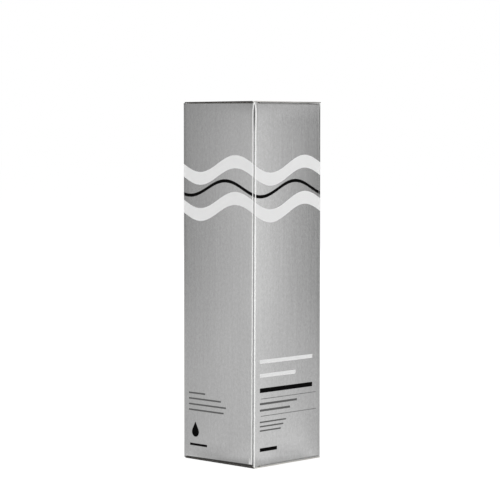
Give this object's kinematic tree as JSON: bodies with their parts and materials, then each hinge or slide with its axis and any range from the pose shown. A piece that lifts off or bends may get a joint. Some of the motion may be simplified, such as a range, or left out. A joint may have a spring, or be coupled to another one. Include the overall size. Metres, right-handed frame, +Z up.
{
  "type": "contact lens solution carton",
  "caption": "Tall square folding carton of silver board with a tuck lid at each end, holding a dropper bottle of contact lens solution with screw cap and folded leaflet.",
  "frame": {"origin": "centre of the carton's base, on the surface it stands on", "axes": "+Z up along the carton, -Y out of the front panel, -X out of the tuck side, +X out of the side with the lids' creases"},
  "size_m": [0.0416, 0.0416, 0.152],
  "materials": {
    "silver_board": "metallised, fine upright brushing",
    "lid_board": "metallised, fine upright brushing",
    "seam_board": "uncoated white board",
    "bottle_plastic": "translucent white, soft sheen",
    "nozzle_plastic": "natural white",
    "cap_plastic": "opaque white, ribbed skirt",
    "liner_foam": "soft, pale",
    "label_film": "satin",
    "solution_liquid": "clear liquid",
    "leaflet_paper": "thin uncoated paper"
  },
  "bodies": {
    "carton": {"front_panel": "silver_board", "left_panel": "silver_board", "back_panel": "silver_board", "right_panel": "silver_board", "glue_flap": "seam_board"},
    "top_lid": {"top_lid": "lid_board"},
    "top_tuck": {"top_tuck_flap": "lid_board"},
    "top_dust_front": {"top_dust_flap_front": "lid_board"},
    "top_dust_back": {"top_dust_flap_back": "lid_board"},
    "bottom_lid": {"bottom_lid": "lid_board"},
    "bottom_tuck": {"bottom_tuck_flap": "lid_board"},
    "bottom_dust_front": {"bottom_dust_flap_front": "lid_board"},
    "bottom_dust_back": {"bottom_dust_flap_back": "lid_board"},
    "bottle": {"bottle_body": "bottle_plastic", "dropper_nozzle": "nozzle_plastic", "tamper_band": "cap_plastic", "bottle_label": "label_film", "solution": "solution_liquid"},
    "cap_seal": {"cap_liner": "liner_foam"},
    "cap": {"screw_cap": "cap_plastic"},
    "leaflet": {"leaflet": "leaflet_paper"}
  },
  "joints": [
    {"name": "bottle_lift", "type": "slide", "parent": "carton", "child": "bottle", "axis": [0, 0, 1], "range_m": [0, 0.1]},
    {"name": "leaflet_lift", "type": "slide", "parent": "carton", "child": "leaflet", "axis": [0, 0, 1], "range_m": [0, 0.1]},
    {"name": "top_lid_open", "type": "hinge", "parent": "carton", "child": "top_lid", "pos_m": [0.02057, 0, 0.15177], "axis": [0, 1, 0], "range_deg": [0, 180]},
    {"name": "top_tuck_unfold", "type": "hinge", "parent": "top_lid", "child": "top_tuck", "pos_m": [-0.01972, 0, 0.15177], "axis": [0, 1, 0], "range_deg": [0, 18]},
    {"name": "top_dust_front_open", "type": "hinge", "parent": "carton", "child": "top_dust_front", "pos_m": [0, -0.02057, 0.15118], "axis": [1, 0, 0], "range_deg": [0, 180]},
    {"name": "top_dust_back_open", "type": "hinge", "parent": "carton", "child": "top_dust_back", "pos_m": [0, 0.02057, 0.15118], "axis": [-1, 0, 0], "range_deg": [0, 180]},
    {"name": "cap_rise", "type": "slide", "parent": "bottle", "child": "cap_seal", "axis": [0, 0, 1], "range_m": [0, 0.0045]},
    {"name": "cap_turn", "type": "hinge", "parent": "cap_seal", "child": "cap", "pos_m": [0, 0, 0.12], "axis": [0, 0, 1], "range_deg": [0, 540]},
    {"name": "bottom_lid_open", "type": "hinge", "parent": "carton", "child": "bottom_lid", "pos_m": [0.02057, 0, 0.00022], "axis": [0, -1, 0], "range_deg": [0, 120]},
    {"name": "bottom_tuck_fold", "type": "hinge", "parent": "bottom_lid", "child": "bottom_tuck", "pos_m": [-0.0195, 0, 0.00045], "axis": [0, 1, 0], "range_deg": [0, 72]},
    {"name": "bottom_dust_front_open", "type": "hinge", "parent": "carton", "child": "bottom_dust_front", "pos_m": [0, -0.02057, 0.00082], "axis": [-1, 0, 0], "range_deg": [0, 120]},
    {"name": "bottom_dust_back_open", "type": "hinge", "parent": "carton", "child": "bottom_dust_back", "pos_m": [0, 0.02057, 0.00082], "axis": [1, 0, 0], "range_deg": [0, 120]}
  ],
  "couplings": [
    {"joint": "leaflet_lift", "follows": "bottle_lift", "ratio": 1},
    {"joint": "top_lid_open", "follows": "bottle_lift", "rad_per_m": 31.4},
    {"joint": "top_tuck_unfold", "follows": "bottle_lift", "rad_per_m": 3.14},
    {"joint": "top_dust_front_open", "follows": "bottle_lift", "rad_per_m": 31.4},
    {"joint": "top_dust_back_open", "follows": "bottle_lift", "rad_per_m": 31.4},
    {"joint": "cap_rise", "follows": "cap_turn", "m_per_rad": 0.000477},
    {"joint": "bottom_tuck_fold", "follows": "bottom_lid_open", "ratio": 0.6},
    {"joint": "bottom_dust_front_open", "follows": "bottom_lid_open", "ratio": 1},
    {"joint": "bottom_dust_back_open", "follows": "bottom_lid_open", "ratio": 1}
  ]
}
